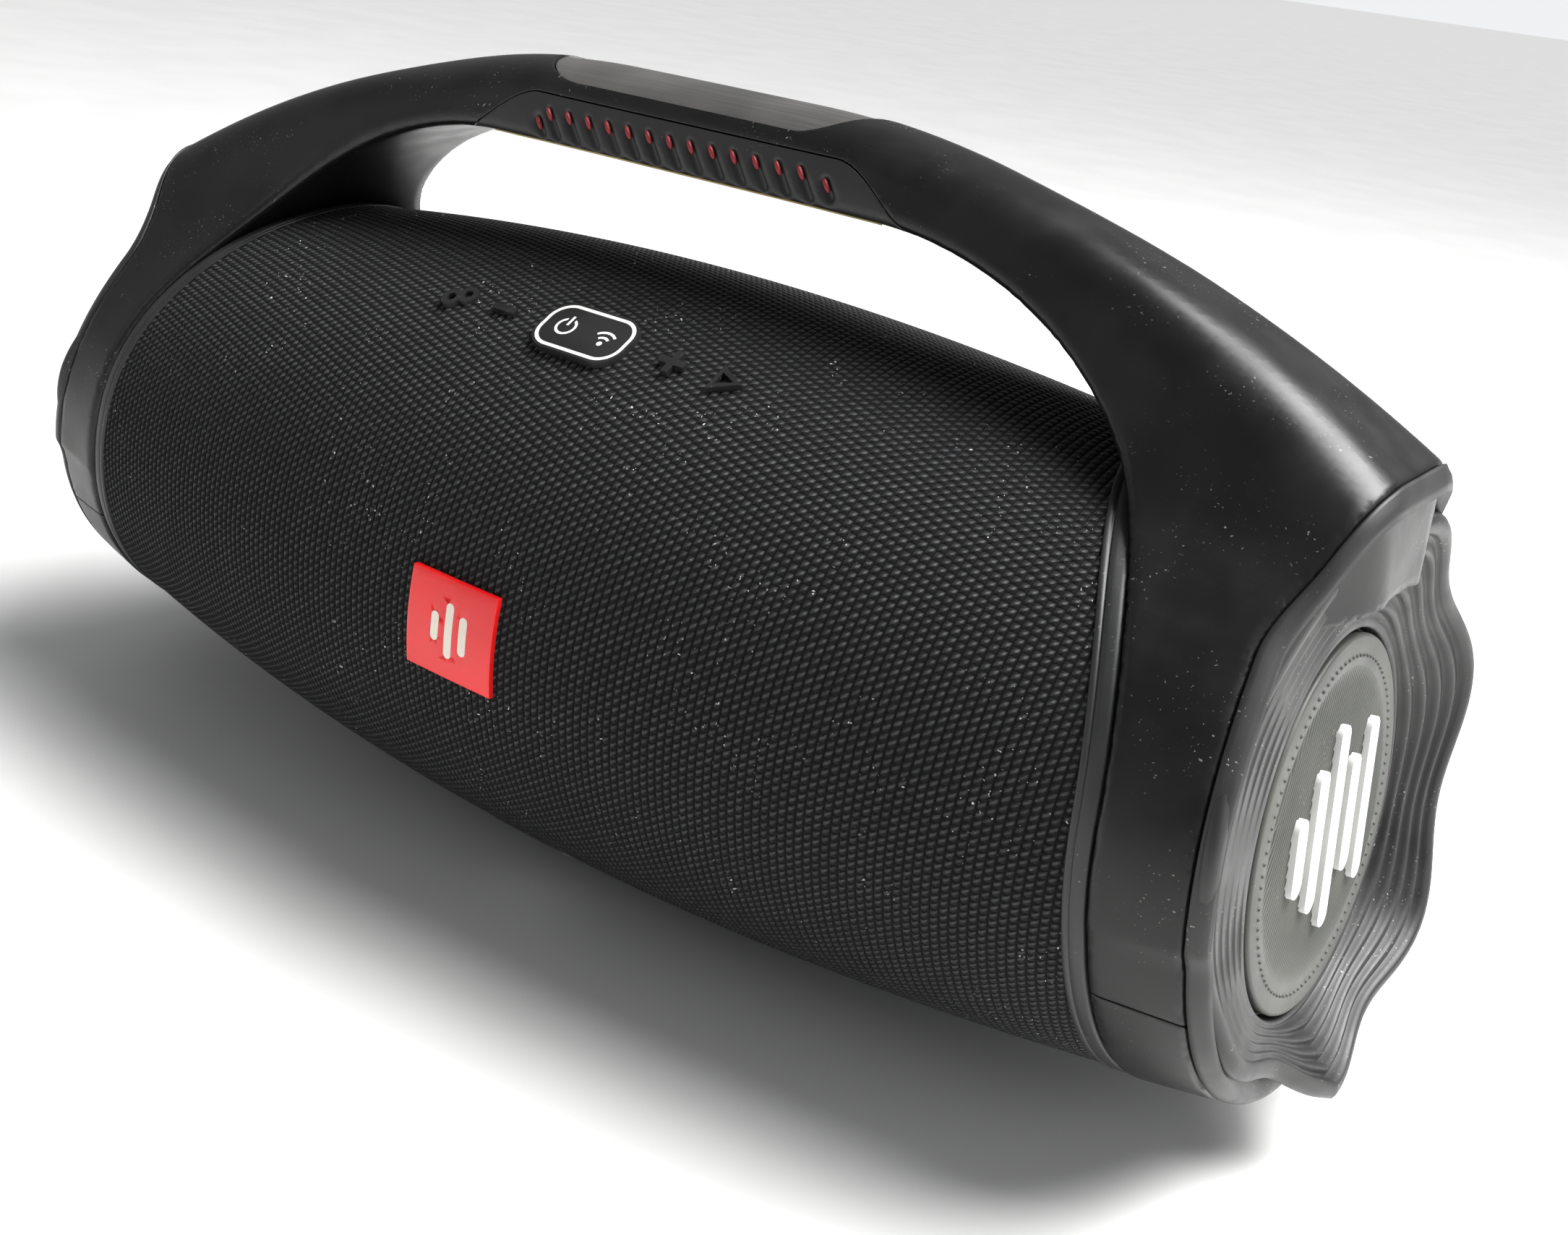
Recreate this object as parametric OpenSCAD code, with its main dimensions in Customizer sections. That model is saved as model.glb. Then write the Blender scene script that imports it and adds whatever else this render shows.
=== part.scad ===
/* [Drum] */
// Radius of the drum's fabric at mid length
drum_r = 98.5; // [94:0.5:102]
// Radius of the arc that gives the drum its barrel shape along its length
barrel_arc_r = 1125; // [900:25:1600]
// Height of the drum's axis above the table
drum_z = 100.5; // [100:0.5:104]
// Half length of the part at the lower lip of each end bumper
half_length = 242.5; // [240:0.5:246]
// Thickness of the fabric sleeve
fabric_t = 1.2; // [0.8:0.1:1.3]
// Thickness of the cabinet wall
wall_t = 4; // [3:0.5:5]

/* [Handle] */
// Height of the top of the handle
handle_top = 256; // [250:1:262]
// Half width of the handle at the grip
grip_half_w = 22; // [20:0.5:26]
// Radius of the arch's inner edge at each side
arch_inner_r = 126; // [124:0.5:128]
// Radius of the arch's outer edge at each side
arch_outer_r = 345; // [330:5:360]
// Width of the rubber trim between fabric and ring
trim_w = 6; // [4:0.5:8]
// Height of the seam between upper and lower ring shells
ring_split_z = 72; // [60:1:85]

/* [Ends] */
// Upward tilt of each passive radiator, in degrees
end_tilt = 7; // [5:0.5:8]
// Upward tilt of each bumper's lip, in degrees
lip_tilt = 4; // [3:0.5:5]
// Radius of the moving radiator disc
disc_r = 52.2; // [50:0.1:54]
// Radius of the bumper's lip
lip_r = 88; // [86:0.5:89]
// Height of each wave in the bumper's lip
lip_wave = 1.5; // [0:0.1:1.8]
// Number of waves round the lip
lip_waves = 7; // [5:1:9]

/* [Keys] */
// Angle of the key row above the horizontal, in degrees
key_angle = 58.3; // [56:0.1:60]
// Distance of the volume keys from the middle
volume_x = 32.9; // [31:0.1:35]
// Distance of the link and play keys from the middle
outer_key_x = 52.1; // [50:0.1:55]
// Length of the oval key
oval_len = 34; // [32:0.5:36]
// Width of the oval key
oval_w = 20; // [18:0.5:22]
// Corner radius of the oval key
oval_r = 8; // [6:0.5:9]

/* [Hidden] */

$fn = 96;
far = 300;              // longer than any part of the speaker
gap = 0.3;              // clearance between neighbouring pieces
barrel_step = 16;       // length of each straight band in the barrel's outline
arc_step = 5;           // degrees between the points of the arch's inner edge

arch_x = 70;            // centre of the arch's inner edge at each side
arch_z = handle_top - 26 - arch_inner_r;
outer_x = 36;           // half length of the handle's straight top
hood_x = 228.5;         // outer end of the hood over each bumper
ring_proud = 1.6;       // height of the ring above the fabric line
neck_low_z = 100;       // the handle's flare starts here
neck_high_z = 235;      // and ends here
neck_r = 74;            // half width of the flare at its start
crown_h = 14;           // height of the rounded crown of the handle

disc_x = 226.9;         // middle of the radiator's outer face
disc_z = 101.2;
seam_w = -5.4;          // the ring and the bumper meet this far behind the disc's face
disc_t = 5;
bumper_bore_r = disc_r + 1.3;
frame_plate_t = 6.5;
surround_t = 2.5;
surround_r = 62;

lip_z = 99.5;
lip_x = half_length - (lip_r + lip_wave) * sin(lip_tilt);
lip_t = 5;
collar_r = 79.5;
groove_r = 75;
steps = 5;              // terraces in the bumper's bowl
step_h = 1.9;
step_w = 5.5;
bowl_r = 82;

woofer_x = 105;
woofer_r = 53;
baffle_y = -60;         // front face of the baffle
baffle_t = 5;
basket_depth = 42;
tweeter_x = 32;
tweeter_z = 118;
tweeter_r = 17;
cabinet_half = disc_x - 14.6;
cage_sweep = 132;       // angle that the front cage spans round the drum

badge_w = 34;
badge_low = 88.4;
badge_high = 118.8;
badge_t = 2;

cover_w = 96;
cover_low = 60;
cover_high = 96;
cover_t = badge_t;
hinge_y = 90.5;         // axis of the flap's hinge, in the rolled bead under it
hinge_z = 58.5;
bead_r = 1.1;
bead_len = 80;
bay_w = 88;
bay_low = 63.5;
bay_high = 93;
bay_floor_y = 72;
jack_z = 78;
aux_x = -26;
power_x = 28;
usb_x = 2;

foot_half_w = 15;
foot_len = 52;

key_rise = 1.8;         // height of the key faces above the fabric
pad_r = 6.5;
pad_low = -6;
board_low = -10.6;
board_high = -9;

// ---- helpers ----

module on_side(s) {
    mirror([s < 0 ? 1 : 0, 0, 0]) children();
}

// Outline in the front view, pushed through the part's whole depth
module through_depth() {
    rotate([90, 0, 0]) linear_extrude(2 * far, center = true) children();
}

// Radius of the drum at distance x from its middle
function barrel_r(x) = drum_r - x * x / (2 * barrel_arc_r);

// Half section of the drum's barrel shape, grown outwards by grow
module barrel_2d(grow = 0, half = 240) {
    bands = 2 * round(half / barrel_step);
    polygon(concat(
        [[0, -half]],
        [for (i = [0 : bands]) let (x = half * (2 * i / bands - 1)) [barrel_r(x) + grow, x]],
        [[0, half]]));
}

module barrel(grow = 0, half = 240) {
    translate([0, 0, drum_z]) rotate([0, 90, 0]) rotate_extrude($fn = 180) barrel_2d(grow, half);
}

// Part of the cabinet's wall: start is 0 at the bottom, 90 at the rear, 180 at the top
module wall_sector(start, sweep) {
    outer = -fabric_t - 0.1;
    between_ends(cabinet_half) translate([0, 0, drum_z]) rotate([0, 90, 0]) rotate([0, 0, start])
        rotate_extrude(angle = sweep, $fn = 180) difference() {
            barrel_2d(outer);
            barrel_2d(outer - wall_t);
        }
}

// Frame of an end's radiator: +Z outwards along its axis, +X down, origin on the disc's face
module at_disc(s) {
    on_side(s) translate([disc_x, 0, disc_z]) rotate([0, 90 - end_tilt, 0]) children();
}

// Frame of an end's bumper lip: +Z outwards, origin at the middle of the lip's front
module at_lip(s) {
    on_side(s) translate([lip_x, 0, lip_z]) rotate([0, 90 - lip_tilt, 0]) children();
}

// Frame of a key: +Z out of the drum, +X along it, origin on the fabric
module at_key(x) {
    translate([x, 0, drum_z]) rotate([90 - key_angle, 0, 0]) translate([0, 0, barrel_r(x)]) children();
}

module stadium(length, width) {
    reach = (length - width) / 2;
    for (s = [-1, 1]) translate([s * reach, 0]) circle(width / 2);
    square([2 * reach, width], center = true);
}

module rounded_2d(length, width, r) {
    for (i = [-1, 1], j = [-1, 1])
        translate([i * (length / 2 - r), j * (width / 2 - r)]) circle(r);
    square([length - 2 * r, width], center = true);
    square([length, width - 2 * r], center = true);
}

module ring_2d(outer, inner) {
    difference() {
        circle(outer);
        circle(inner);
    }
}

module tube(outer, inner, height) {
    linear_extrude(height) ring_2d(outer, inner);
}

// Both mirrored halves of an outline given by its right half, from top to bottom
function both_sides(right) = concat(right, [for (i = [len(right) - 1 : -1 : 0]) [-right[i].x, right[i].y]]);

// Front view of the region inside the arch: round above, tapering with the ends' tilt below
module window_2d(r) {
    drop = 150;
    arc = [for (a = [90 : -arc_step : end_tilt + 1]) [arch_x + r * cos(a), arch_z + r * sin(a)]];
    side = [arch_x + r * cos(end_tilt), arch_z + r * sin(end_tilt)];
    foot = side + drop * [sin(end_tilt), -cos(end_tilt)];
    polygon(both_sides(concat(arc, [side, foot])));
}

// Front view of everything under the handle's outer edge
module outer_2d() {
    centre_z = handle_top - arch_outer_r;
    last = asin((hood_x - outer_x) / arch_outer_r);
    arc = [for (i = [0 : 16]) [outer_x + arch_outer_r * sin(last * i / 16),
                               centre_z + arch_outer_r * cos(last * i / 16)]];
    polygon(both_sides(concat(arc, [[hood_x, -40]])));
}

// Half width of the handle at height z
function neck_w(z) = grip_half_w
    + (neck_r - grip_half_w) * pow(cos(90 * (min(z, neck_high_z) - neck_low_z) / (neck_high_z - neck_low_z)), 2);
function crown_w(z) = sqrt(max(0, 1 - pow(max(0, z - handle_top + crown_h) / (crown_h + 2), 2)));
function handle_w(z) = neck_w(z) * crown_w(z);

module neck_2d() {
    polygon(concat(
        [for (z = [neck_low_z : 6 : 238]) [handle_w(z), z]],
        [for (z = [240 : 2 : handle_top]) [handle_w(z), z]],
        [for (z = [handle_top : -2 : 240]) [-handle_w(z), z]],
        [for (z = [238 : -6 : neck_low_z]) [-handle_w(z), z]]));
}

// The whole handle frame: the arch and both end rings as one block
module frame_block() {
    difference() {
        intersection() {
            through_depth() difference() {
                outer_2d();
                window_2d(arch_inner_r);
            }
            union() {
                barrel(ring_proud);
                rotate([90, 0, 90]) linear_extrude(2 * far, center = true) neck_2d();
            }
        }
        barrel(-1);
        for (s = [-1, 1]) at_disc(s) translate([0, 0, seam_w]) cylinder(r = lip_r + 1, h = 60);
    }
}

// Front view of the separate grip under the handle's top
module grip_2d() {
    polygon([[-86, 222], [86, 222], [66, 242], [-66, 242]]);
}

module inlay_block() {
    translate([0, 0, handle_top - 3]) linear_extrude(10) stadium(128, 30);
}

// Three bars of different height in rounded ends, used as the part's own plain mark
module bars_2d(bar_w, pitch, heights) {
    for (i = [0 : len(heights) - 1])
        translate([(i - (len(heights) - 1) / 2) * pitch, 0]) rotate(90) stadium(heights[i], bar_w);
}

// Key glyphs, grown outwards by grow
module minus_2d(grow = 0) {
    square([9 + 2 * grow, 2.4 + 2 * grow], center = true);
}

module plus_2d(grow = 0) {
    minus_2d(grow);
    rotate(90) minus_2d(grow);
}

module play_2d(grow = 0) {
    polygon([[-4.2 - grow, -5 - 2 * grow], [5 + 2 * grow, 0], [-4.2 - grow, 5 + 2 * grow]]);
}

// Outline of the power key, grown outwards by grow
module oval_2d(grow = 0) {
    rounded_2d(oval_len + 2 * grow, oval_w + 2 * grow, oval_r + grow);
}

module play_outline_2d() {
    difference() {
        play_2d();
        play_2d(-1.3);
    }
}

module link_2d(grow = 0) {
    for (s = [-1, 1]) translate([s * 2.4, s * 1.4]) circle(3.4 + grow);
}

module link_rings_2d() {
    difference() {
        link_2d();
        for (s = [-1, 1]) translate([s * 2.4, s * 1.4]) circle(1.6);
    }
}

module glyph_key(x) {
    at_key(x) {
        translate([0, 0, -2]) linear_extrude(2 + key_rise) children();
        translate([0, 0, pad_low]) cylinder(r = pad_r, h = -2 - pad_low);
    }
}

// Everything that passes through the fabric
module fabric_holes() {
    at_key(0) translate([0, 0, -4]) linear_extrude(10) oval_2d(gap);
    at_key(-outer_key_x) translate([0, 0, -4]) linear_extrude(10) link_2d(gap);
    at_key(-volume_x) translate([0, 0, -4]) linear_extrude(10) minus_2d(gap);
    at_key(volume_x) translate([0, 0, -4]) linear_extrude(10) plus_2d(gap);
    at_key(outer_key_x) translate([0, 0, -4]) linear_extrude(10) play_2d(gap);
    strip_block(gap);
    translate([-cover_w / 2 - gap, 0, cover_low - 2])
        cube([cover_w + 2 * gap, far, cover_high - cover_low + 2 + gap]);
}

module strip_block(grow = 0) {
    translate([-15 - grow, -80, 16 - grow]) cube([30 + 2 * grow, 40, 5 + 2 * grow]);
}

// Keeps what lies between two planes tilted like the ends, x from the middle at the disc's height
module between_ends(x) {
    low = (disc_z + 50) * tan(end_tilt);
    high = 200 * tan(end_tilt);
    intersection() {
        through_depth() polygon([[-x - low, -50], [x + low, -50], [x - high, disc_z + 200], [high - x, disc_z + 200]]);
        children();
    }
}

// ---- cabinet ----

module cabinet_shell() {
    color("dimgray") difference() {
        wall_sector(270 + cage_sweep / 2, 360 - cage_sweep);
        translate([-bay_w / 2 - 2 - gap, 0, cover_low - 2])
            cube([bay_w + 4 + 2 * gap, far, cover_high - cover_low + 2 + gap]);
    }
}

module grille_cage() {
    rows = [-24, 0, 24];
    color("dimgray") difference() {
        wall_sector(270 - cage_sweep / 2, cage_sweep);
        for (x = [-150 : 30 : 150], a = rows)
            translate([x, 0, drum_z]) rotate([-a, 0, 0]) translate([0, -drum_r, 0])
                cube([24, 60, 30], center = true);
        for (x = [-outer_key_x, -volume_x, volume_x, outer_key_x])
            at_key(x) translate([0, 0, -20]) cylinder(r = pad_r + gap, h = 30);
        at_key(0) translate([0, 0, -20]) linear_extrude(30) oval_2d(0.5);
        strip_block(gap);
    }
}

module baffle() {
    color("#2b2b2b") difference() {
        intersection() {
            barrel(-fabric_t - wall_t - 0.2, 180);
            translate([-180, baffle_y, 0]) cube([360, baffle_t, 200]);
        }
        for (s = [-1, 1]) {
            translate([s * woofer_x, 0, drum_z]) rotate([90, 0, 0])
                cylinder(r = woofer_r - 4, h = far, center = true);
            translate([s * tweeter_x, 0, tweeter_z]) rotate([90, 0, 0])
                cylinder(r = tweeter_r - 3, h = far, center = true);
        }
        at_key(0) translate([0, 0, pad_low - 2]) linear_extrude(30) oval_2d(0.5);
    }
}

module fabric_sleeve() {
    color("#161618") difference() {
        intersection() {
            barrel();
            through_depth() window_2d(arch_inner_r - trim_w - 0.1);
        }
        barrel(-fabric_t);
        fabric_holes();
    }
}

module trim(s) {
    color("#101012") difference() {
        intersection() {
            barrel(0.8);
            through_depth() difference() {
                window_2d(arch_inner_r - 0.1);
                window_2d(arch_inner_r - trim_w);
            }
            on_side(s) translate([0, -far, -far]) cube([far, 2 * far, 3 * far]);
        }
        barrel(-fabric_t);
    }
}

// ---- handle ----

module groove_rows() {
    for (s = [-1, 1], i = [-7 : 7])
        translate([i * 8, s * grip_half_w, 236]) rotate([0, -32, 0]) children();
}

module handle_shell() {
    color("#1b1b1d") difference() {
        frame_block();
        through_depth() grip_2d();
        inlay_block();
        translate([-far, -far, -far]) cube([2 * far, 2 * far, far + ring_split_z]);
    }
}

module handle_grip() {
    color("#171719") difference() {
        intersection() {
            frame_block();
            through_depth() grip_2d();
        }
        groove_rows() cylinder(r = 1.6, h = 10, center = true, $fn = 24);
    }
}

module grip_accents() {
    color("#7a1018") groove_rows() translate([0, 0, 2.4]) cylinder(r = 1.3, h = 2.4, $fn = 24);
}

module handle_inlay() {
    color("#5a5a5e") intersection() {
        frame_block();
        inlay_block();
    }
}

module ring_lower(s) {
    color("#1b1b1d") intersection() {
        frame_block();
        on_side(s) translate([0, -far, -far]) cube([far, 2 * far, far + ring_split_z]);
    }
}

// ---- ends ----

module lip_outline() {
    polygon([for (a = [0 : 5 : 355]) (lip_r + lip_wave * cos(lip_waves * a)) * [cos(a), sin(a)]]);
}

module bumper(s) {
    color("#202022") difference() {
        at_lip(s) {
            translate([0, 0, -lip_t]) linear_extrude(lip_t) lip_outline();
            translate([0, 0, -lip_t - 3]) cylinder(r = groove_r, h = 3);
            translate([0, 0, -24]) cylinder(r = collar_r, h = 24 - lip_t - 3);
        }
        at_disc(s) {
            translate([0, 0, seam_w - far]) cylinder(r = far, h = far);
            translate([0, 0, seam_w - 1]) cylinder(r = bumper_bore_r, h = far);
        }
        at_lip(s) for (i = [0 : steps - 1])
            translate([0, 0, -(i + 1) * step_h]) cylinder(r = bowl_r - i * step_w, h = far);
    }
}

module radiator_frame(s) {
    color("#303034") at_disc(s) translate([0, 0, -8 - frame_plate_t])
        tube(surround_r + 8, disc_r + 2, frame_plate_t);
}

module radiator_surround(s) {
    color("#141414") at_disc(s) translate([0, 0, -8]) tube(surround_r, disc_r + 0.6, surround_t);
}

module radiator_disc(s) {
    color("#4a4d48") at_disc(s) {
        translate([0, 0, -disc_t]) cylinder(r = disc_r, h = disc_t);
        translate([0, 0, -disc_t - 9]) cylinder(r = 24, h = 9);
    }
}

module end_mark(s) {
    color("white") at_disc(s) rotate(90) linear_extrude(2)
        bars_2d(7, 12.5, [22, 40, 58, 34, 48]);
}

// ---- drivers ----

// Frame of a driver: +Z out of the front of the baffle
module at_driver(x, z) {
    translate([x, baffle_y, z]) rotate([90, 0, 0]) children();
}

module woofer_basket(s) {
    color("#3a3a3e") at_driver(s * woofer_x, drum_z) {
        tube(woofer_r, woofer_r - 6, 3);
        translate([0, 0, -basket_depth]) difference() {
            cylinder(r1 = 26, r2 = woofer_r - 5, h = basket_depth);
            translate([0, 0, 3]) cylinder(r1 = 23, r2 = woofer_r - 8, h = basket_depth);
            translate([0, 0, -1]) cylinder(r = 15, h = 6);
        }
    }
}

module woofer_magnet(s) {
    color("#505054") at_driver(s * woofer_x, drum_z)
        translate([0, 0, -basket_depth - 18]) tube(32, 15, 18);
}

module woofer_surround(s) {
    color("#121212") at_driver(s * woofer_x, drum_z) translate([0, 0, 3])
        tube(woofer_r - 1, woofer_r - 13, 2.5);
}

module woofer_cone(s) {
    color("#28282a") at_driver(s * woofer_x, drum_z) {
        translate([0, 0, -20]) difference() {
            cylinder(r1 = 13, r2 = woofer_r - 14, h = 22);
            translate([0, 0, 1]) cylinder(r1 = 11, r2 = woofer_r - 16, h = 22);
        }
        translate([0, 0, -34]) cylinder(r = 12.5, h = 15);
    }
}

module tweeter_body(s) {
    color("#3a3a3e") at_driver(s * tweeter_x, tweeter_z) {
        tube(tweeter_r, 11, 2.5);
        translate([0, 0, -14]) cylinder(r = tweeter_r - 4, h = 8);
        translate([0, 0, -6]) tube(tweeter_r - 4, 11, 6);
    }
}

module tweeter_dome(s) {
    color("#8a8a8e") at_driver(s * tweeter_x, tweeter_z) intersection() {
        translate([0, 0, -9]) sphere(r = 14);
        translate([0, 0, -2]) cylinder(r = 10, h = 10);
    }
}

// ---- front ----

module badge_block(low, high, mark_depth) {
    intersection() {
        difference() {
            barrel(high);
            barrel(low);
        }
        translate([0, -drum_r, (badge_low + badge_high) / 2]) rotate([90, 0, 0])
            linear_extrude(60, center = true) children();
    }
}

module badge() {
    color("red") difference() {
        badge_block(0, badge_t, 0) square([badge_w, badge_high - badge_low], center = true);
        badge_block(badge_t - 0.6, badge_t + 1, 0) bars_2d(3, 5.6, [9, 17, 12]);
    }
}

module badge_mark() {
    color("ivory") badge_block(badge_t - 0.6, badge_t, 0) bars_2d(3, 5.6, [9, 17, 12]);
}

module key_board() {
    color("darkgreen") at_key(0) {
        translate([-62, -9, board_low]) cube([124, 18, board_high - board_low]);
        for (x = [-outer_key_x, -volume_x, 0, volume_x, outer_key_x])
            translate([x, 0, board_high]) cylinder(r = 2.2, h = 0.6, $fn = 24);
    }
}

module key_link() {
    color("#141416") glyph_key(-outer_key_x) link_rings_2d();
}

module key_minus() {
    color("#141416") glyph_key(-volume_x) minus_2d();
}

module key_plus() {
    color("#141416") glyph_key(volume_x) plus_2d();
}

module key_play() {
    color("#141416") glyph_key(outer_key_x) play_outline_2d();
}

module key_power_print_2d() {
    difference() {
        oval_2d(-0.9);
        oval_2d(-2.1);
    }
    translate([-7.5, 0]) {
        difference() {
            ring_2d(3.6, 2.7);
            translate([-1.4, 0]) square([2.8, 6]);
        }
        translate([-0.45, 0.5]) square([0.9, 4]);
    }
    translate([7.5, -2.5]) {
        circle(0.9);
        for (r = [3, 5.2]) intersection() {
            ring_2d(r, r - 0.9);
            rotate(45) square([8, 8]);
        }
    }
}

module key_power() {
    color("#141416") at_key(0) difference() {
        translate([0, 0, pad_low]) linear_extrude(key_rise - pad_low) oval_2d();
        translate([0, 0, key_rise - 0.4]) linear_extrude(2) key_power_print_2d();
    }
}

module key_power_print() {
    color("white") at_key(0) translate([0, 0, key_rise - 0.4]) linear_extrude(0.4) key_power_print_2d();
}

// ---- base ----

module base_plate() {
    color("#242426") difference() {
        translate([-22, -foot_half_w, 0.6]) cube([44, 2 * foot_half_w, 6]);
        translate([-23, 0, drum_z]) rotate([0, 90, 0]) cylinder(r = drum_r + 0.05, h = 46, $fn = 360);
    }
}

module foot(s) {
    color("#0e0e0e") on_side(s) difference() {
        translate([24, -foot_half_w, 0]) cube([foot_len, 2 * foot_half_w, 8]);
        barrel(0.05);
    }
}

module led_strip() {
    color("lightgray") difference() {
        intersection() {
            barrel(0.6);
            strip_block();
        }
        barrel(-3);
    }
}

// ---- inside ----

module battery_pack() {
    color("royalblue") translate([-75, -5, 22]) cube([150, 40, 42]);
}

module main_board() {
    color("darkgreen") {
        translate([-80, 50, 84]) cube([160, 1.6, 74]);
        for (x = [-56, -20, 22]) translate([x, 38, 120]) cube([24, 12, 20]);
    }
}

// ---- ports ----

module port_bay() {
    outer_low = bay_low - 2;
    color("#18181a") difference() {
        intersection() {
            barrel(-fabric_t - 0.3);
            translate([-bay_w / 2 - 2, bay_floor_y - 3, outer_low]) cube([bay_w + 4, 60, bay_high - bay_low + 4]);
        }
        translate([-bay_w / 2, bay_floor_y, bay_low]) cube([bay_w, 60, bay_high - bay_low]);
        for (x = [aux_x, power_x]) translate([x, bay_floor_y - 10, jack_z]) rotate([-90, 0, 0])
            cylinder(r = 5.5, h = 20);
        translate([usb_x - 8, bay_floor_y - 10, jack_z - 4.5]) cube([16, 20, 9]);
    }
}

module round_jack(x, bore_r) {
    translate([x, bay_floor_y - 16, jack_z]) rotate([-90, 0, 0]) difference() {
        cylinder(r = 5.4, h = 17);
        translate([0, 0, 3]) cylinder(r = bore_r, h = 20);
    }
}

module aux_jack() {
    color("#2c2c2e") round_jack(aux_x, 1.8);
}

module power_jack() {
    color("#2c2c2e") round_jack(power_x, 3.2);
}

module usb_jack() {
    color("silver") difference() {
        translate([usb_x - 7.9, bay_floor_y - 16, jack_z - 4.4]) cube([15.8, 17, 8.8]);
        translate([usb_x - 6.3, bay_floor_y - 13, jack_z - 2.6]) cube([12.6, 30, 5.2]);
    }
}

module port_cover() {
    color("#151517") {
        difference() {
            intersection() {
                barrel(cover_t);
                translate([-cover_w / 2, 0, cover_low]) cube([cover_w, far, cover_high - cover_low]);
            }
            barrel(-fabric_t + 0.2);
        }
        translate([0, hinge_y, hinge_z]) rotate([0, 90, 0])
            cylinder(r = bead_r, h = bead_len, center = true, $fn = 32);
        translate([-bead_len / 2, hinge_y - 0.8, hinge_z])
            cube([bead_len, 1.6, cover_low + 0.5 - hinge_z]);
    }
}

cabinet_shell();
grille_cage();
baffle();
fabric_sleeve();
trim(-1);  // trim_left
trim(1);  // trim_right
handle_shell();
handle_grip();
grip_accents();
handle_inlay();
ring_lower(-1);  // ring_lower_left
ring_lower(1);  // ring_lower_right
bumper(-1);  // bumper_left
bumper(1);  // bumper_right
radiator_frame(-1);  // radiator_frame_left
radiator_frame(1);  // radiator_frame_right
radiator_surround(-1);  // radiator_surround_left
radiator_surround(1);  // radiator_surround_right
radiator_disc(-1);  // radiator_disc_left
radiator_disc(1);  // radiator_disc_right
end_mark(-1);  // end_mark_left
end_mark(1);  // end_mark_right
woofer_basket(-1);  // woofer_basket_left
woofer_basket(1);  // woofer_basket_right
woofer_magnet(-1);  // woofer_magnet_left
woofer_magnet(1);  // woofer_magnet_right
woofer_surround(-1);  // woofer_surround_left
woofer_surround(1);  // woofer_surround_right
woofer_cone(-1);  // woofer_cone_left
woofer_cone(1);  // woofer_cone_right
tweeter_body(-1);  // tweeter_body_left
tweeter_body(1);  // tweeter_body_right
tweeter_dome(-1);  // tweeter_dome_left
tweeter_dome(1);  // tweeter_dome_right
badge();
badge_mark();
key_board();
key_link();
key_minus();
key_power();
key_power_print();
key_plus();
key_play();
base_plate();
foot(-1);  // foot_left
foot(1);  // foot_right
led_strip();
battery_pack();
main_board();
port_bay();
port_cover();
aux_jack();
power_jack();
usb_jack();
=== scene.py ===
"""Detailed visual model of a portable speaker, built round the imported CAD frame."""

import math

import bpy
import numpy as np
from mathutils import Matrix, Vector


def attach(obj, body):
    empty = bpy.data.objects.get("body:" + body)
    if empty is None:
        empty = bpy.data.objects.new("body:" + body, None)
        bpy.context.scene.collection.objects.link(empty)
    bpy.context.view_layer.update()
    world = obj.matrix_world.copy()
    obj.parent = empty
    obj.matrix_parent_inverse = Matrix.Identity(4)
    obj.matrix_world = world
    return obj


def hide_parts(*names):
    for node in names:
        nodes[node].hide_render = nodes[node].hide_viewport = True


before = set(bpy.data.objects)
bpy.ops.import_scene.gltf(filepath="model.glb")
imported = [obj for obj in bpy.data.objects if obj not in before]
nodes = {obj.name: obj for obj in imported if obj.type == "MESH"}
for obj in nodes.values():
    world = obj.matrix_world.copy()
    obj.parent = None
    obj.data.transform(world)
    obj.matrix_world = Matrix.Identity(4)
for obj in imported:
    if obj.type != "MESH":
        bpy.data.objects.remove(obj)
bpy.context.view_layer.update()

MM = 0.001  # all the sizes below are in millimetres, in the CAD's own axes

# The drum: a barrel lying along x
DRUM_R = 98.5
BARREL_ARC_R = 1125
DRUM_Z = 100.5
# The handle frame: the window's spine, the two radii of the arch and the roundings
ARCH_X = 70
ARCH_Z = 104
ARCH_INNER_R = 126
ARCH_OUTER_R = 345
OUTER_X = 36
OUTER_Z = -89
SHOULDER_DROP = 2.6  # how much lower the arch is round x = SHOULDER_X than its outer arc
SHOULDER_X = 140
SHOULDER_SPREAD = 55
RING_PROUD = 1.6
RING_WALL = 7
RING_SPLIT_Z = 72
NECK_LOW = 100
NECK_HIGH = 235
NECK_R = 74
GRIP_HALF_W = 22
CROWN_ROUND = 24  # rounding of the top edges over the grip
SHOULDER_ROUND = 16  # and further out
CROWN_END_X = 100
ROUND_BLEND_X = 60
FLARE_ROUND = 14
SEAM_ROUND = 1.2
# The ends, in the disc's own frame: w outwards from its face, angles from straight down
END_TILT = math.radians(7)
DISC_X = 226.9
DISC_Z = 101.2
DISC_R = 52.2
SEAM_W = -5.4
HOOD_RISE = 16  # how much further out the seam lies under the handle
HOOD_EDGE = 42  # degrees from the top where it starts to rise
HOOD_BLEND = 32
LIP_R = 84.5
LIP_W = 9.4
LIP_LIFT = 4.3  # the lip's centre lies this far above the disc's
LIP_LEAN = 1.4
LIP_OVAL = 5.0  # wider than tall, with its long axis turned by OVAL_TURN radians
OVAL_TURN = 0.4
LIP_WAVES = 7
WAVE_START = 0.1
WAVE_OUT = 3.0
WAVE_ALONG = 1.8
FRONT_IN = 12.6  # the front side of the lip is closer in
FRONT_BACK = 10.2  # and closer to the ring than the rear side
FRONT_CALM = 0.35  # its waves are lower by this share
# Joints between pieces
SEAM_GAP = 0.16
CHAMFER = 0.22
WALL_DEPTH = 2.6
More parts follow.
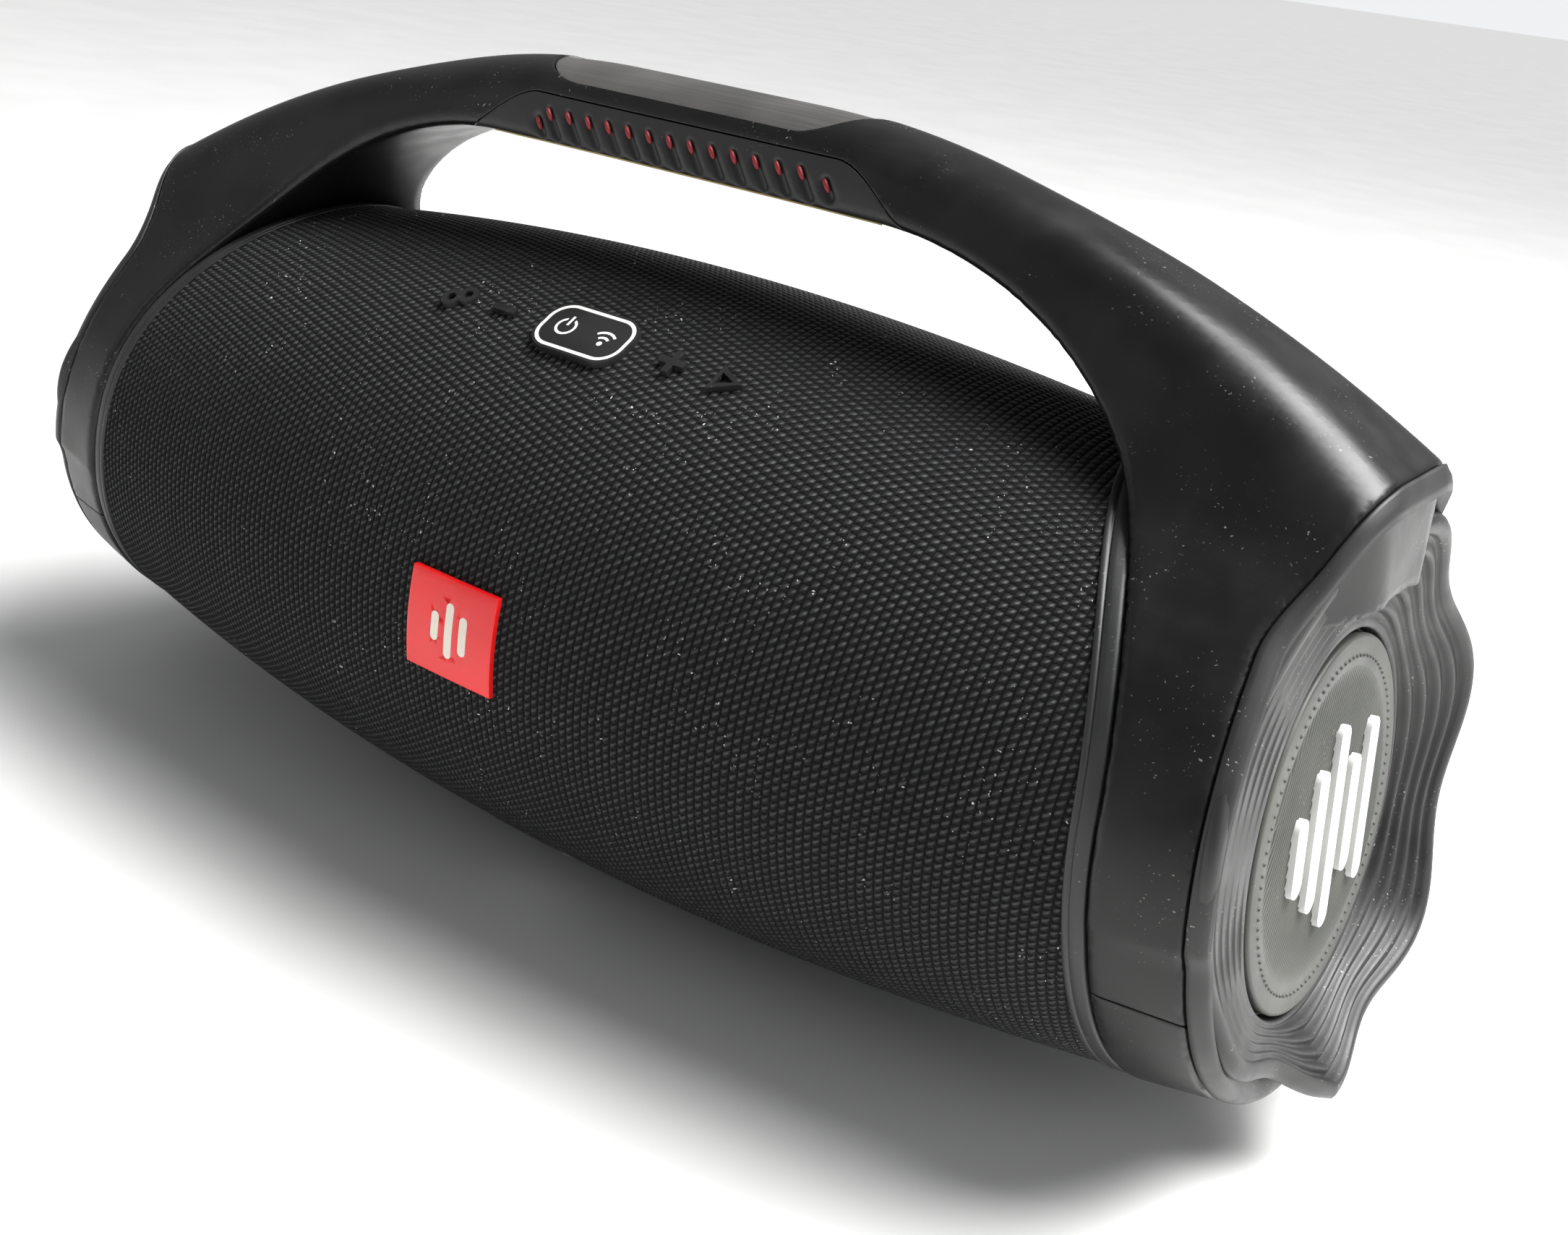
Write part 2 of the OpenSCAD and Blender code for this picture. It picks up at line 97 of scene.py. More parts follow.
# The fabric
RIB_PITCH = 2.6
RIB_SHAPE = (-0.34, 0.2, 0.32, 0.2)
WEAVE_ROWS = 224
FABRIC_HALF_X = 206
FABRIC_END = 121.4


# ---- implicit shapes ----


def smooth_max(a, b, k):
    """The larger of two fields, blended where they differ by less than k."""
    near = np.maximum(k - np.abs(a - b), 0) / k
    return np.maximum(a, b) + near * near * k / 4


def smooth_min(a, b, k):
    return -smooth_max(-a, -b, k)


def smooth_step(t):
    t = np.clip(t, 0, 1)
    return t * t * (3 - 2 * t)


def barrel_r(x):
    """The drum's radius at x."""
    return DRUM_R - x * x / (2 * BARREL_ARC_R)


def window_distance(x, z):
    """How far a point of the front view is from the window's spine."""
    a = np.abs(x) - ARCH_X
    b = z - ARCH_Z
    reach = np.maximum(a, 0)
    arc = np.hypot(reach, np.maximum(b, 0))
    side = a * math.cos(END_TILT) + b * math.sin(END_TILT)
    return np.where(b > reach * math.tan(END_TILT), arc, side)


def hood_share(down, rear):
    """1 straight above the end's axis, where the handle meets the ring, and 0 well away from it."""
    return smooth_step((HOOD_EDGE - np.degrees(np.arctan2(np.abs(rear), -down))) / HOOD_BLEND)


def end_field(p):
    """Below 0 on the inner side of the rings' outer edges, which climb under the handle."""
    x = np.abs(p[:, 0]) - DISC_X
    z = p[:, 2] - DISC_Z
    along = x * math.cos(END_TILT) + z * math.sin(END_TILT)
    down = x * math.sin(END_TILT) - z * math.cos(END_TILT)
    return along - SEAM_W - HOOD_RISE * hood_share(down, p[:, 1])


def envelope(p):
    """The outside of the arch, its necks and the drum: negative inside."""
    x, y, z = np.abs(p[:, 0]), np.abs(p[:, 1]), p[:, 2]
    outer = np.hypot(np.maximum(x - OUTER_X, 0), z - OUTER_Z) - ARCH_OUTER_R
    outer = outer + SHOULDER_DROP * np.exp(-(((x - SHOULDER_X) / SHOULDER_SPREAD) ** 2))
    turn = (np.clip(z, NECK_LOW, NECK_HIGH) - NECK_LOW) / (NECK_HIGH - NECK_LOW)
    flare = (NECK_R - GRIP_HALF_W) * np.cos(math.pi / 2 * turn) ** 2
    neck = np.maximum(y - GRIP_HALF_W - flare, NECK_LOW - z)
    rho = np.hypot(y, z - DRUM_Z)
    body = smooth_min(neck, rho - barrel_r(x) - RING_PROUD, FLARE_ROUND)
    shoulder = smooth_step((x - CROWN_END_X) / ROUND_BLEND_X)
    rounding = CROWN_ROUND + (SHOULDER_ROUND - CROWN_ROUND) * shoulder
    return smooth_max(body, outer, rounding)


def frame_field(p):
    """The arch and both end rings as one block: negative inside."""
    x, z = p[:, 0], p[:, 2]
    inner_edge = 3 + smooth_step((z - 150) / 50)
    body = smooth_max(envelope(p), ARCH_INNER_R - window_distance(x, z), inner_edge)
    rho = np.hypot(p[:, 1], z - DRUM_Z)
    body = smooth_max(body, barrel_r(x) - RING_WALL - rho, 1)
    return smooth_max(body, end_field(p), SEAM_ROUND)


def gradient(field, p, h=0.04):
    """The field's slope at each point."""
    slope = np.empty((len(p), 3))
    for axis in range(3):
        shift = np.zeros(3)
        shift[axis] = h
        slope[:, axis] = (field(p[:, :3] + shift) - field(p[:, :3] - shift)) / (2 * h)
    return slope


def unit(v):
    return v / np.maximum(np.linalg.norm(v, axis=1), 1e-9)[:, None]


def settle(field, p, rounds=4):
    """Moves the points onto the surface where field is 0."""
    for _ in range(rounds):
        slope = gradient(field, p)
        share = field(p) / np.maximum((slope * slope).sum(1), 0.25)
        p = p - np.clip(share[:, None] * slope, -1, 1)
    return p


def sample(field, axes, step, block=6):
    """The field on a grid, worked out point by point only near its surface."""
    centres = [axis[min(block // 2, len(axis) - 1) :: block] for axis in axes]
    coarse_points = np.stack(np.meshgrid(*centres, indexing="ij"), -1)
    coarse = field(coarse_points.reshape(-1, 3)).reshape(coarse_points.shape[:3])
    rows = [np.minimum(np.arange(len(a)) // block, len(c) - 1) for a, c in zip(axes, centres)]
    values = coarse[np.ix_(*rows)]
    near = np.argwhere(np.abs(values) < 1.7 * block * step)
    points = np.stack([axes[i][near[:, i]] for i in range(3)], -1)
    values[tuple(near.T)] = field(points)
    return values


def surface_net(field, low, high, step):
    """Points and triangles of the surface where field is 0 inside a box."""
    axes = [np.arange(low[i], high[i] + step, step) for i in range(3)]
    values = sample(field, axes, step)
    inside = values < 0
    corners = np.array([(i, j, k) for i in (0, 1) for j in (0, 1) for k in (0, 1)])
    size = np.array(values.shape) - 1
    count = np.zeros(size, np.int8)
    for i, j, k in corners:
        count += inside[i : i + size[0], j : j + size[1], k : k + size[2]]
    cells = np.argwhere((count > 0) & (count < 8))
    total = np.zeros((len(cells), 3))
    hits = np.zeros(len(cells))
    for start in corners:
        for axis in np.flatnonzero(start == 0):
            end = start.copy()
            end[axis] = 1
            a = values[tuple((cells + start).T)]
            b = values[tuple((cells + end).T)]
            crossed = (a < 0) != (b < 0)
            t = np.where(crossed, a / np.where(crossed, a - b, 1), 0)
            total += np.where(crossed[:, None], start + t[:, None] * (end - start), 0)
            hits += crossed
    points = np.array([a[0] for a in axes]) + step * (cells + total / hits[:, None])
    number = np.full(size, -1)
    number[tuple(cells.T)] = np.arange(len(cells))
    quads = []
    for axis in range(3):
        b, c = np.eye(3, dtype=int)[[(axis + 1) % 3, (axis + 2) % 3]]
        lower = np.take(inside, np.arange(size[axis]), axis)
        upper = np.take(inside, np.arange(1, size[axis] + 1), axis)
        edge = np.argwhere(lower != upper)
        fits = ((edge >= b + c) & (edge < size)).all(1)
        edge = edge[fits]
        ring = [number[tuple((edge - d).T)] for d in (0 * b, b, b + c, c)]
        ring = np.stack(ring, -1)
        flip = ~lower[tuple(edge.T)]
        ring[flip] = ring[flip][:, ::-1]
        quads.append(ring)
    return settle(field, points), split(np.concatenate(quads))


def split(quads):
    """Two triangles for each quad."""
    return np.concatenate([quads[:, [0, 1, 2]], quads[:, [0, 2, 3]]])


def clip(points, tris, value):
    """Keeps the part where value is below 0, and lists the edges of the cut."""
    inside = value[tris] < 0
    count = inside.sum(1)
    kept = [tris[count == 3]]
    keys = []
    shapes = []
    for number in (1, 2):
        part = tris[count == number]
        flags = inside[count == number]
        odd = (flags if number == 1 else ~flags).argmax(1)
        rows = np.arange(len(part))
        first, second, third = (part[rows, (odd + i) % 3] for i in range(3))
        for other in (second, third):
            pair = np.sort(np.stack([first, other], -1), 1)
            keys.append(pair[:, 0] * len(points) + pair[:, 1])
        shapes.append((first, second, third))
    unique, inverse = np.unique(np.concatenate(keys), return_inverse=True)
    a, b = unique // len(points), unique % len(points)
    t = (value[a] / (value[a] - value[b]))[:, None]
    added = points[a] * (1 - t) + points[b] * t
    ends = np.cumsum([len(k) for k in keys])[:-1]
    one_b, one_c, two_b, two_c = np.split(inverse.ravel() + len(points), ends)
    kept.append(np.stack([shapes[0][0], one_b, one_c], -1))
    kept.append(np.stack([two_b, shapes[1][1], shapes[1][2]], -1))
    kept.append(np.stack([two_b, shapes[1][2], two_c], -1))
    rim = np.concatenate([np.stack([one_c, one_b], -1), np.stack([two_b, two_c], -1)])
    return np.concatenate([points, added]), np.concatenate(kept), rim


def compact(points, tris):
    """Drops the points that no triangle uses."""
    used, inverse = np.unique(tris, return_inverse=True)
    return points[used], inverse.reshape(tris.shape)


def cut_piece(points, tris, field, cuts):
    """Clips a surface by each cut, and turns its new edges in with a chamfer and a wall."""
    for cut in cuts:
        points, tris, rim = clip(points, tris, cut(points) + SEAM_GAP + CHAMFER)
        used, inverse = np.unique(rim, return_inverse=True)
        top = points[used]
        inward = -unit(gradient(field, top))
        towards = unit(gradient(cut, top))
        shoulder = top + CHAMFER * (inward + towards)
        foot = shoulder + WALL_DEPTH * inward
        start = len(points)
        points = np.concatenate([points, shoulder, foot])
        shoulder_rim = inverse.reshape(rim.shape) + start
        foot_rim = shoulder_rim + len(used)
        for near, far in ((rim, shoulder_rim), (shoulder_rim, foot_rim)):
            tris = np.concatenate([tris, split(np.concatenate([near, far[:, ::-1]], 1))])
    return compact(points, tris)


# ---- making pieces ----


def make_piece(name, points, faces, material, body, slot, replaced=()):
    """A mesh object from millimetre points, riding on a body in place of some CAD nodes."""
    mesh = bpy.data.meshes.new(name)
    if isinstance(faces, np.ndarray):
        faces = faces.tolist()
    mesh.from_pydata((np.asarray(points)[:, :3] * MM).tolist(), [], faces)
    mesh.materials.append(material)
    mesh.shade_smooth()
    piece = bpy.data.objects.new(name, mesh)
    bpy.context.scene.collection.objects.link(piece)
    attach(piece, body)
    if replaced:
        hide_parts(*replaced)
    return piece


def ring_faces(rows, turns):
    """Quads of a surface whose rows are closed rings, numbered row by row."""
    row = np.arange(rows - 1)[:, None] * turns
    turn = np.arange(turns)[None, :]
    after = (turn + 1) % turns
    quads = np.stack([row + turn, row + after, row + turns + after, row + turns + turn], -1)
    return quads.reshape(-1, 4)


def mirrored(points, faces, side):
    """The piece for the right end, or its mirror image for the left end."""
    if side > 0:
        return points, faces
    return points * (-1, 1, 1), faces[:, ::-1]


SIDES = (("left", -1), ("right", 1))


# ---- materials ----


def rgb(*values):
    return (*values, 1) if len(values) == 3 else (*values * 3, 1)


class Shader:
    """A node material while it is being put together."""

    def __init__(self, name):
        self.material = bpy.data.materials.new(name)
        self.material.use_nodes = True
        self.tree = self.material.node_tree
        self.bsdf = self.tree.nodes["Principled BSDF"]
        self.place = self.node("ShaderNodeTexCoord").outputs["Object"]

    def node(self, kind, **settings):
        made = self.tree.nodes.new(kind)
        for key, value in settings.items():
            setattr(made, key, value)
        return made

    def feed(self, socket, value):
        if isinstance(value, bpy.types.NodeSocket):
            self.tree.links.new(value, socket)
        else:
            socket.default_value = value

    def math(self, operation, *values):
        made = self.node("ShaderNodeMath", operation=operation)
        for socket, value in zip(made.inputs, values):
            self.feed(socket, value)
        return made.outputs[0]

    def axes(self):
        split_xyz = self.node("ShaderNodeSeparateXYZ")
        self.feed(split_xyz.inputs[0], self.place)
        return split_xyz.outputs

    def noise(self, size, detail=2, stretch=(1, 1, 1)):
        """Noise from 0 to 1 with blobs about size millimetres wide."""
        mapping = self.node("ShaderNodeMapping")
        self.feed(mapping.inputs["Vector"], self.place)
        mapping.inputs["Scale"].default_value = stretch
        made = self.node("ShaderNodeTexNoise")
        self.feed(made.inputs["Vector"], mapping.outputs[0])
        made.inputs["Scale"].default_value = 1 / (size * MM)
        made.inputs["Detail"].default_value = detail
        return made.outputs[0]

    def ease(self, value, low, high, to_low=0.0, to_high=1.0):
        """Maps low to to_low and high to to_high, smoothly, and holds both ends."""
        made = self.node("ShaderNodeMapRange", interpolation_type="SMOOTHSTEP")
        for socket, number in zip(made.inputs, (value, low, high, to_low, to_high)):
            self.feed(socket, number)
        return made.outputs[0]

    def mix(self, factor, first, second):
        made = self.node("ShaderNodeMix", data_type="RGBA")
        for index, value in ((0, factor), (6, first), (7, second)):
            self.feed(made.inputs[index], value)
        return made.outputs[2]

    def bump(self, height, depth, below=None):
        made = self.node("ShaderNodeBump")
        made.inputs["Distance"].default_value = depth * MM
        self.feed(made.inputs["Height"], height)
        if below is not None:
            self.feed(made.inputs["Normal"], below)
        return made.outputs["Normal"]

    def done(self, **inputs):
        for name, value in inputs.items():
            self.feed(self.bsdf.inputs[name.replace("_", " ")], value)
        return self.material


def moulded(name, dark, light, rough, grain=0.5, depth=0.02, dust=0.0, scratches=0.0, **more):
    """A moulded or cast surface: cloudy colour, fine grain, dust and light scratches."""
    s = Shader(name)
    colour = s.mix(s.ease(s.noise(28, 3), 0.35, 0.68), rgb(*dark), rgb(*light))
    if dust:
        patches = s.ease(s.noise(22, 3), 0.48, 0.66)
        specks = s.ease(s.noise(0.9, 1), 0.7, 0.76)
        amount = s.math("MULTIPLY", s.math("MULTIPLY", patches, specks), dust)
        colour = s.mix(amount, colour, rgb(0.42, 0.4, 0.36))
    roughness = s.ease(s.noise(14, 4), 0.3, 0.7, rough[0], rough[1])
    normal = s.bump(s.noise(grain, 2), depth)
    if scratches:
        lines = s.ease(s.noise(5, 2, (0.12, 1.6, 1)), 0.62, 0.66)
        normal = s.bump(s.math("MULTIPLY", lines, scratches), 0.05, normal)
    return s.done(Base_Color=colour, Roughness=roughness, Normal=normal, **more)


def fabric_material():
    """Coarse black weave: cells in columns along the ribs, each with a slanted bright thread, and painted
    shade darkening each cell towards its edges.
    """
    s = Shader("speaker_fabric")
    x, y, z = s.axes()
    column_at = s.math("DIVIDE", x, RIB_PITCH * MM)
    angle = s.math("ARCTAN2", y, s.math("SUBTRACT", z, DRUM_Z * MM))
    column = s.math("FLOOR", column_at)
    across = s.math("FRACT", column_at)
    row_at = s.math("MULTIPLY", angle, WEAVE_ROWS / (2 * math.pi))
    row_at = s.math("ADD", row_at, s.math("MULTIPLY", column, 0.27))
    along = s.math("FRACT", row_at)
    centred = s.math("SUBTRACT", across, 0.5)
    slant = s.math("SUBTRACT", s.math("SUBTRACT", along, 0.52), s.math("MULTIPLY", centred, 0.62))
    thread = s.ease(s.math("ABSOLUTE", slant), 0.1, 0.3, 1.0, 0.0)
    thread = s.math("MULTIPLY", thread, s.ease(s.math("ABSOLUTE", centred), 0.28, 0.46, 1.0, 0.0))
    cell = s.math("MULTIPLY", s.math("SINE", s.math("MULTIPLY", across, math.pi)),
                  s.math("SINE", s.math("MULTIPLY", along, math.pi)))
    join = s.node("ShaderNodeCombineXYZ")
    s.feed(join.inputs[0], column)
    s.feed(join.inputs[1], s.math("FLOOR", row_at))
    chance = s.node("ShaderNodeTexWhiteNoise")
    s.feed(chance.inputs["Vector"], join.outputs[0])
    uneven = s.ease(chance.outputs["Value"], 0.0, 1.0, 0.45, 1.0)
    # Painted shade: each cell is darker towards its edges, in the gaps between cells where the bump sinks.
    colour = s.mix(cell, rgb(0.0012), rgb(0.008))
    colour = s.mix(s.math("MULTIPLY", thread, uneven), colour, rgb(0.04, 0.0415, 0.044))
    lint = s.math("MULTIPLY", s.ease(s.noise(1.1, 1), 0.73, 0.76), s.ease(s.noise(26, 1), 0.52, 0.6))
    colour = s.mix(lint, colour, rgb(0.55, 0.55, 0.52))
    fuzz = s.math("MULTIPLY", s.noise(0.35, 2), 0.25)
    height = s.math("ADD", s.math("ADD", cell, s.math("MULTIPLY", thread, 0.7)), fuzz)
    s.bsdf.inputs["Sheen Weight"].default_value = 0.04
    s.bsdf.inputs["Specular IOR Level"].default_value = 0.28
    s.bsdf.inputs["Sheen Roughness"].default_value = 0.4
    roughness = s.ease(thread, 0.0, 1.0, 0.9, 0.55)
    return s.done(Base_Color=colour, Roughness=roughness, Normal=s.bump(height, 0.55))


def inlay_material():
    """Dark satin metal with fine brushing along the handle."""
    s = Shader("satin_metal")
    brushing = s.noise(1.2, 3, (0.02, 1, 1))
    colour = s.mix(s.ease(s.noise(40, 2), 0.3, 0.7), rgb(0.19, 0.185, 0.18), rgb(0.3, 0.29, 0.28))
    roughness = s.ease(brushing, 0.3, 0.7, 0.3, 0.42)
    return s.done(Base_Color=colour, Roughness=roughness, Metallic=0.85,
                  Normal=s.bump(brushing, 0.012))


FABRIC = fabric_material()
SHELL = moulded("satin_black_plastic", (0.005,) * 3, (0.009, 0.0086, 0.0084), (0.3, 0.38),
                grain=0.35, depth=0.008, dust=0.5, scratches=0.2, Specular_IOR_Level=0.34)
GRIP = moulded("grip_rubber", (0.012,) * 3, (0.017,) * 3, (0.42, 0.52), grain=0.3, depth=0.014, dust=0.2)
RUBBER = moulded("bumper_rubber", (0.014,) * 3, (0.022, 0.021, 0.021), (0.4, 0.54),
                 grain=0.4, depth=0.02, dust=0.9, scratches=0.25)
TRIM = moulded("trim_rubber", (0.014, 0.0145, 0.015), (0.022, 0.022, 0.022), (0.4, 0.5), dust=0.6)
DISC = moulded("disc_plastic", (0.05, 0.053, 0.045), (0.08, 0.08, 0.07), (0.42, 0.55), dust=0.35)
METAL = inlay_material()
# A yellow metallic finish for the thin bead along the grip's lower edges
YELLOW_LINE = moulded("yellow_line", (0.36, 0.27, 0.11), (0.48, 0.36, 0.17), (0.3, 0.4), Metallic=1.0)
ACCENT = moulded("red_tip", (0.22, 0.01, 0.016), (0.3, 0.014, 0.02), (0.4, 0.55))
WHITE = moulded("white_print", (0.74, 0.74, 0.72), (0.84, 0.84, 0.82), (0.4, 0.5), depth=0.01)
RED = moulded("badge_red", (0.78, 0.006, 0.008), (0.88, 0.01, 0.012), (0.35, 0.45), depth=0.006,
              Coat_Weight=0.15, Coat_Roughness=0.2)
CREAM = moulded("badge_cream", (0.78, 0.7, 0.6), (0.86, 0.8, 0.7), (0.3, 0.4))
KEY = moulded("key_rubber", (0.01,) * 3, (0.016,) * 3, (0.38, 0.5), dust=0.3)
CABINET = moulded("cabinet_plastic", (0.02,) * 3, (0.03,) * 3, (0.5, 0.6))
CONE = moulded("cone_paper", (0.03,) * 3, (0.05,) * 3, (0.7, 0.8), grain=0.8, depth=0.1)
BASKET = moulded("basket_metal", (0.05,) * 3, (0.08,) * 3, (0.4, 0.5), Metallic=0.6)
MAGNET = moulded("magnet_metal", (0.1,) * 3, (0.16,) * 3, (0.3, 0.45), Metallic=0.9)
DOME = moulded("dome_metal", (0.3,) * 3, (0.4,) * 3, (0.2, 0.3), Metallic=0.9)
BOARD = moulded("board_green", (0.01, 0.05, 0.02), (0.016, 0.075, 0.03), (0.35, 0.5))
BATTERY = moulded("battery_wrap", (0.03, 0.07, 0.28), (0.04, 0.09, 0.36), (0.3, 0.4))
LENS = moulded("frosted_lens", (0.5,) * 3, (0.62,) * 3, (0.3, 0.4))
JACK = moulded("jack_plastic", (0.014,) * 3, (0.02,) * 3, (0.35, 0.45))
JACK_METAL = moulded("jack_metal", (0.5,) * 3, (0.62,) * 3, (0.25, 0.35), Metallic=1.0)
FOOT = moulded("foot_rubber", (0.01,) * 3, (0.014,) * 3, (0.6, 0.75), grain=1.0, depth=0.08)

NODE_MATERIALS = {
    CABINET: ("cabinet_shell", "grille_cage", "baffle", "base_plate", "port_bay"),
    RUBBER: ("radiator_surround_left", "radiator_surround_right",
             "woofer_surround_left", "woofer_surround_right"),
    BASKET: ("radiator_frame_left", "radiator_frame_right", "woofer_basket_left",
             "woofer_basket_right", "tweeter_body_left", "tweeter_body_right"),
    MAGNET: ("woofer_magnet_left", "woofer_magnet_right"),
    CONE: ("woofer_cone_left", "woofer_cone_right"),
    DOME: ("tweeter_dome_left", "tweeter_dome_right"),
    BOARD: ("key_board", "main_board"),
    BATTERY: ("battery_pack",),
    LENS: ("led_strip",),
    JACK: ("aux_jack", "power_jack"),
    JACK_METAL: ("usb_jack",),
    FOOT: ("foot_left", "foot_right"),
    KEY: ("key_link", "key_minus", "key_power", "key_plus", "key_play"),
    TRIM: ("port_cover",),
    WHITE: ("end_mark_left", "end_mark_right", "key_power_print"),
    RED: ("badge",),
    CREAM: ("badge_mark",),
}
SOFT_EDGES = {
    "key_link": 0.35, "key_minus": 0.4, "key_power": 0.8, "key_plus": 0.4, "key_play": 0.35,
    "port_cover": 0.7, "end_mark_left": 0.4, "end_mark_right": 0.4, "badge": 0.5,
    "foot_left": 1.0, "foot_right": 1.0, "base_plate": 0.5,
}


def finish_cad_nodes():
    """Gives the CAD parts that stay in view their materials and softened edges."""
    for material, names in NODE_MATERIALS.items():
        for name in names:
            mesh = nodes[name].data
            mesh.materials.clear()
            mesh.materials.append(material)
    for name, width in SOFT_EDGES.items():
        weld = nodes[name].modifiers.new("weld", "WELD")
        weld.merge_threshold = 0.01 * MM
        bevel = nodes[name].modifiers.new("edge", "BEVEL")
        bevel.width = width * MM
        bevel.segments = 3
        bevel.limit_method = "ANGLE"
        bevel.angle_limit = math.radians(40)
        bevel.use_clamp_overlap = True


# ---- handle and rings ----

# The grip's grooves: a dark slot in a wider dish
GROOVE_LEAN = math.radians(32)
GROOVE_Z = 236
GROOVE_PITCH = 8
GROOVE_HALF = 4.4
SHORT_HALF = 2.4
LAST_GROOVE = 7
DISH_R = 4.6
SLOT_R = 1.35
TIP_R = 0.8
TIP_HALF = 2.2
# The grip's parting line runs high over the grooves and drops in an S towards both ends
PARTING_Z = 244.5
PARTING_DROP = 20.5
S_START_X = 56
S_LENGTH = 40
GRIP_END_X = 97
# The inlay in the handle's top
INLAY_HALF_W = 16.5
INLAY_LEFT_X = -65
INLAY_RIGHT_X = 57
INLAY_LOW_Z = 243
INLAY_SUNK = 0.7
# The thin yellow metallic bead under the grip
YELLOW_LINE_HALF_X = 74
YELLOW_LINE_Y = 19.0
YELLOW_LINE_Z = 232.2
YELLOW_LINE_R = 0.32
YELLOW_LINE_STEPS = 75


def grooves():
    """(x, z, half length) of each groove in the grip, from left to right."""
    rows = []
    for i in range(-LAST_GROOVE, LAST_GROOVE + 1):
        first = i == -LAST_GROOVE
        half = SHORT_HALF if abs(i) == LAST_GROOVE else GROOVE_HALF
        rows.append((i * GROOVE_PITCH + (3 if first else 0), GROOVE_Z - (1.6 if first else 0), half))
    return rows


def grip_line(p):
    """Below 0 on the grip's side of its parting line."""
    x = np.abs(p[:, 0])
    drop = smooth_step((x - S_START_X) / S_LENGTH)
    inside = p[:, 2] - (PARTING_Z - PARTING_DROP * drop)
    return np.maximum(inside, x - GRIP_END_X)


def inlay_line(p):
    """Below 0 inside the inlay: round at the left, slanted to a point at the right."""
    x, y, z = p[:, 0], p[:, 1], p[:, 2]
    sides = smooth_max(np.abs(y) - INLAY_HALF_W, INLAY_LEFT_X - x, 24)
    slant = (x - INLAY_RIGHT_X) * 0.86 - y * 0.5
    return np.maximum(smooth_max(sides, slant, 9), INLAY_LOW_Z - z)


def segment_distance(p, x, y, z, half):
    """Distance from a leaning line of the grip's grooves, with y measured from the middle."""
    dx, dy, dz = p[:, 0] - x, np.abs(p[:, 1]) - y, p[:, 2] - z
    lean_x, lean_z = -math.sin(GROOVE_LEAN), math.cos(GROOVE_LEAN)
    t = np.clip(dx * lean_x + dz * lean_z, -half, half)
    return np.sqrt((dx - t * lean_x) ** 2 + dy * dy + (dz - t * lean_z) ** 2)


def grip_field(p):
    """The frame with the grip's grooves cut into both sides."""
    body = frame_field(p)
    for x, z, half in grooves():
        dish = DISH_R - segment_distance(p, x, GRIP_HALF_W + 3.6, z, half)
        slot = SLOT_R - segment_distance(p, x, GRIP_HALF_W - 0.5, z, half)
        body = smooth_max(body, dish, 1.0)
        body = smooth_max(body, slot, 0.6)
    return body


def make_handle():
    """The upper shell, cut out round the grip and the inlay, and the two lower ring shells."""
    low, high = (-238, -86, -4), (238, 86, 260)
    points, tris = surface_net(frame_field, low, high, 1.8)
    upper = cut_piece(points, tris, frame_field, (
        lambda p: RING_SPLIT_Z - p[:, 2],
        lambda p: -grip_line(p),
        lambda p: -inlay_line(p)))
    make_piece("handle_upper", *upper, SHELL, "chassis", "shell", ("handle_shell",))
    for name, side in SIDES:
        lower = cut_piece(points, tris, frame_field, (
            lambda p: p[:, 2] - RING_SPLIT_Z,
            lambda p: -side * p[:, 0]))
        make_piece(f"ring_bottom_{name}", *lower, SHELL, "chassis", "shell", (f"ring_lower_{name}",))


def make_grip():
    points, tris = surface_net(grip_field, (-98, -30, 222), (98, 30, 252), 0.8)
    grip = cut_piece(points, tris, grip_field, (grip_line,))
    make_piece("grip", *grip, GRIP, "chassis", "grip", ("handle_grip",))


def make_inlay():
    def sunk(p):
        return frame_field(p) + INLAY_SUNK

    points, tris = surface_net(sunk, (-72, -24, 240), (78, 24, 258), 1.0)
    inlay = cut_piece(points, tris, sunk, (inlay_line,))
    make_piece("inlay", *inlay, METAL, "chassis", "inlay", ("handle_inlay",))


def make_grip_tips():
    """The red end of each groove, a small capsule sunk into it."""
    points, faces = [], []
    turns, rings = 12, 7
    for side in (-1, 1):
        for x, z, half in grooves():
            middle = np.array((x, side * (GRIP_HALF_W - 0.9), z))
            lean = np.array((-math.sin(GROOVE_LEAN), 0, math.cos(GROOVE_LEAN)))
            across = np.array((math.cos(GROOVE_LEAN), 0, math.sin(GROOVE_LEAN)))
            start = len(points)
            for ring in range(rings):
                angle = math.pi * (ring + 0.5) / rings - math.pi / 2
                for turn in range(turns):
                    a = 2 * math.pi * turn / turns
                    out = across * math.cos(a) + np.array((0, 1, 0)) * math.sin(a)
                    centre = middle + lean * (half - 1.2 + TIP_HALF * math.sin(angle))
                    points.append(centre + out * TIP_R * math.cos(angle))
            faces.extend((ring_faces(rings, turns) + start).tolist())
            faces.append(list(range(start + turns - 1, start - 1, -1)))
            faces.append(list(range(start + (rings - 1) * turns, start + rings * turns)))
    make_piece("grip_tips", points, faces, ACCENT, "chassis", "accent", ("grip_accents",))


